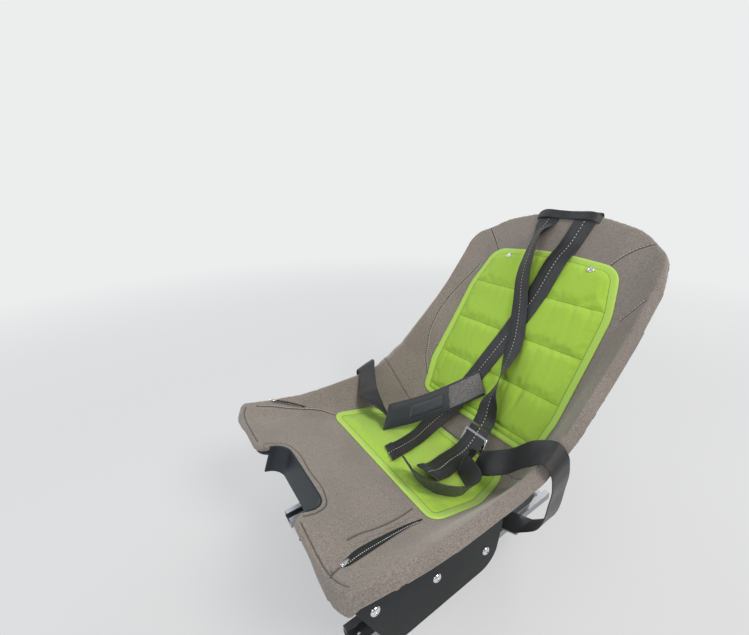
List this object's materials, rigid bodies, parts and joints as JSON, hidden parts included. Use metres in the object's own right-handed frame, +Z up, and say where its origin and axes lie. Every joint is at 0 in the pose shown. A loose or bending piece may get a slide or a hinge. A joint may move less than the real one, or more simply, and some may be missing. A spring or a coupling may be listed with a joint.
{
  "type": "light aircraft bucket seat",
  "caption": "Reclined bucket seat for a light aircraft: composite shell, sewn padded covers, harness straps and floor rails it slides on.",
  "frame": {"origin": "centre of the floor bolt pattern, on the floor under the rails", "axes": "+X to the occupant's left, +Y to the rear of the seat, +Z up"},
  "size_m": [0.5108, 0.7819, 0.6459],
  "materials": {
    "shell": "smooth dark blue-grey composite shell, semi-gloss",
    "cover_cloth": "taupe heathered upholstery cloth over foam, sewn seams",
    "lime_cloth": "lime green upholstery cloth, quilted across",
    "webbing": "black polyester webbing with a pale dotted line",
    "pad_cloth": "black plush belt pad",
    "chrome": "bright plated steel",
    "black_metal": "black powder coat",
    "rail_metal": "clear anodised extrusion",
    "steel": "plain machined steel",
    "knob": "black knob and lever"
  },
  "bodies": {
    "rails": {"rail_left": "rail_metal", "rail_right": "rail_metal"},
    "seat": {"seat_shell": "shell", "pan_cover": "cover_cloth", "back_cover": "cover_cloth", "seat_insert": "lime_cloth", "back_insert": "lime_cloth", "back_snaps": "chrome", "shoes_left": "steel", "shoes_right": "steel", "side_plate_left": "black_metal", "side_plate_right": "black_metal", "cross_tube_front": "black_metal", "cross_tube_rear": "black_metal", "side_skirt_left": "shell", "side_skirt_right": "shell", "screws_left": "chrome", "screws_right": "chrome", "lock_lever": "knob", "shoulder_anchor": "steel", "anchor_bar": "steel", "shoulder_strap_left": "webbing", "shoulder_strap_right": "webbing", "strap_keeper": "webbing", "strap_tail": "webbing", "shoulder_adjuster": "chrome", "lap_strap_left": "webbing", "lap_strap_right": "webbing", "loop_strap": "webbing", "lap_pad": "pad_cloth", "lap_anchor_left": "steel", "lap_anchor_right": "steel"}
  },
  "joints": [
    {"name": "seat_slide", "type": "slide", "parent": "rails", "child": "seat", "axis": [0, 1, 0], "range_m": [-0.04, 0.04]}
  ]
}
